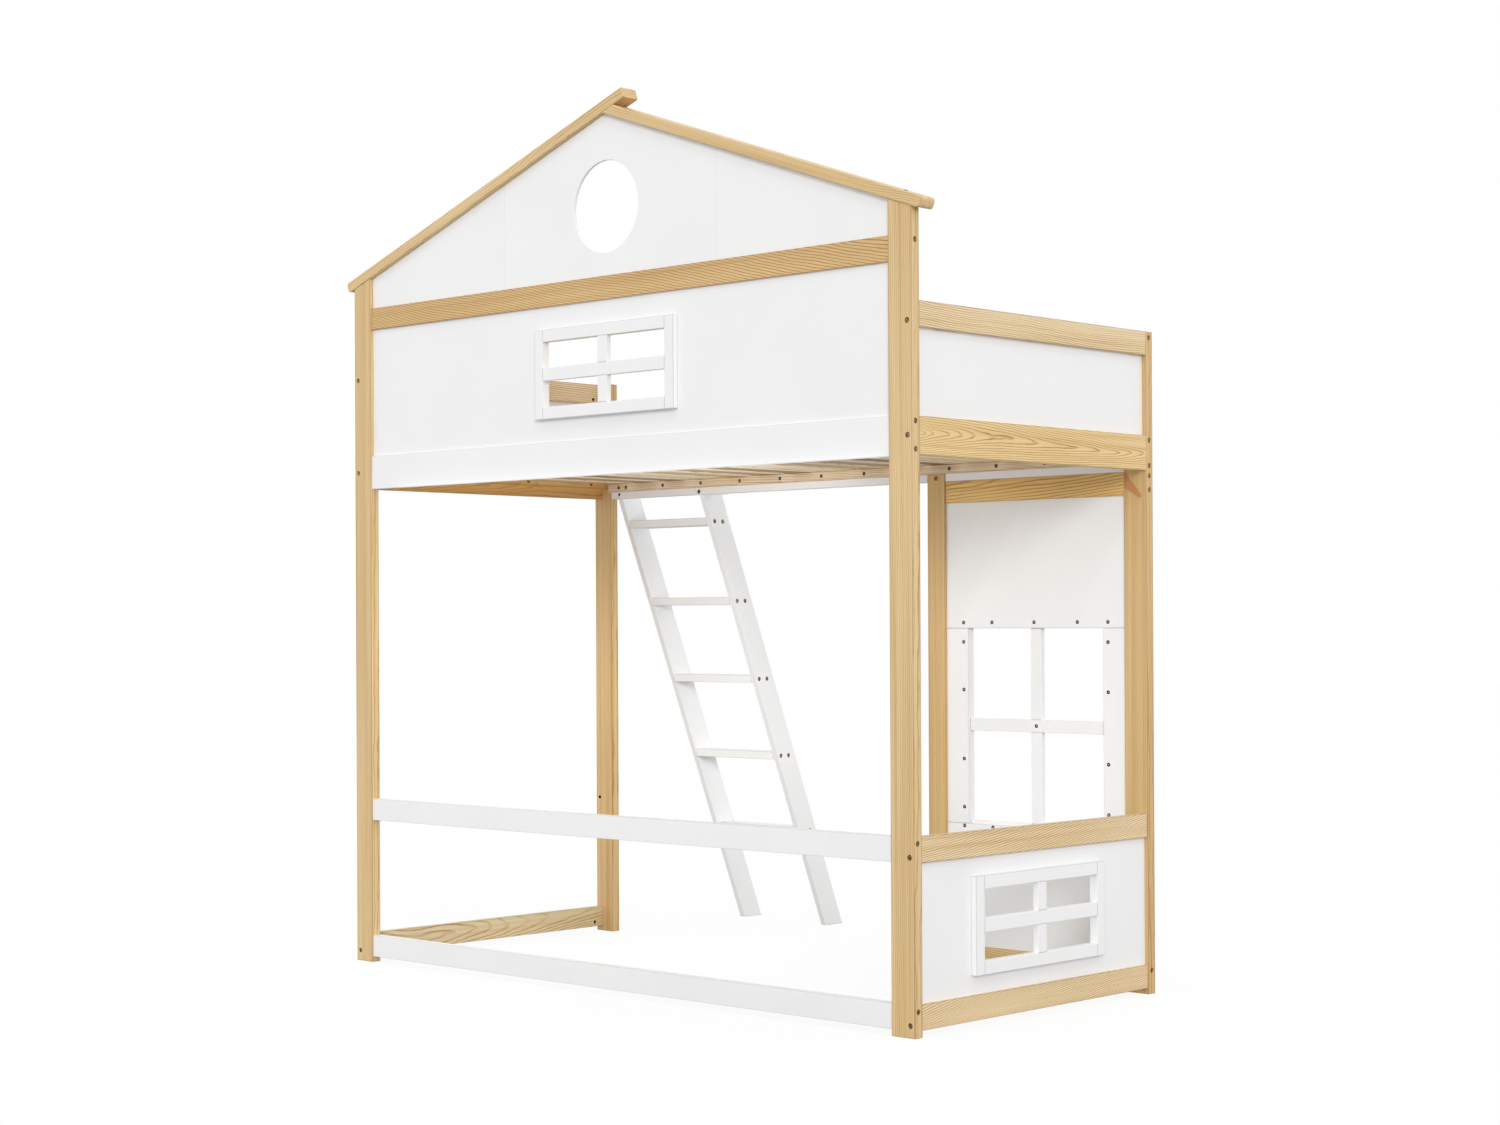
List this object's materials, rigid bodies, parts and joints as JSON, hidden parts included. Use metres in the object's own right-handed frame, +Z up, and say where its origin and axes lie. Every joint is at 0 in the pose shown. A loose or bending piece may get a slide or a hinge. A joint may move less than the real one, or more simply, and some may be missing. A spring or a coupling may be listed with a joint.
{
  "type": "house bunk bed",
  "caption": "Raised single bed with a house-shaped front, an enclosed lower corner with windows, and a leaning ladder at the back.",
  "frame": {"origin": "on the floor, at the middle of the box round the whole bed with its ladder", "axes": "+Z up, +Y from the house front towards the ladder side, +X to the right along the house front"},
  "size_m": [2.1412, 1.5988, 2.3534],
  "materials": {
    "pine": "clear satin lacquer on knotty pine",
    "white_paint": "satin white paint on pine and board"
  },
  "bodies": {
    "root": {"post_front_left": "pine", "post_front_right": "pine", "post_back_left": "pine", "post_back_right": "pine", "post_back_middle": "pine", "roof_board_left": "pine", "roof_board_right": "pine", "gable_rail": "pine", "left_top_rail": "pine", "left_bed_rail": "pine", "right_top_rail": "pine", "right_bed_rail": "pine", "left_floor_rail": "pine", "right_guard_rail": "pine", "right_floor_rail": "pine", "wall_top_rail": "pine", "wall_floor_rail": "pine", "slat_batten_front": "pine", "slat_batten_back": "pine", "slat_1": "pine", "slat_2": "pine", "slat_3": "pine", "slat_4": "pine", "slat_5": "pine", "slat_6": "pine", "slat_7": "pine", "slat_8": "pine", "slat_9": "pine", "slat_10": "pine", "slat_11": "pine", "slat_12": "pine", "slat_13": "pine", "slat_14": "pine", "slat_15": "pine", "gable_panel_left": "white_paint", "gable_panel_middle": "white_paint", "gable_panel_right": "white_paint", "front_panel": "white_paint", "front_window": "white_paint", "front_bed_rail": "white_paint", "front_guard_rail": "white_paint", "front_floor_rail": "white_paint", "left_upper_panel": "white_paint", "right_upper_panel": "white_paint", "right_lower_panel": "white_paint", "right_window": "white_paint", "back_bed_rail": "white_paint", "back_guard": "white_paint", "wall_panel_top": "white_paint", "wall_panel_left": "white_paint", "wall_panel_right": "white_paint", "wall_panel_bottom": "white_paint", "wall_window": "white_paint", "ladder_stile_left": "white_paint", "ladder_stile_right": "white_paint", "ladder_rung_1": "white_paint", "ladder_rung_2": "white_paint", "ladder_rung_3": "white_paint", "ladder_rung_4": "white_paint", "ladder_rung_5": "white_paint"}
  },
  "joints": []
}
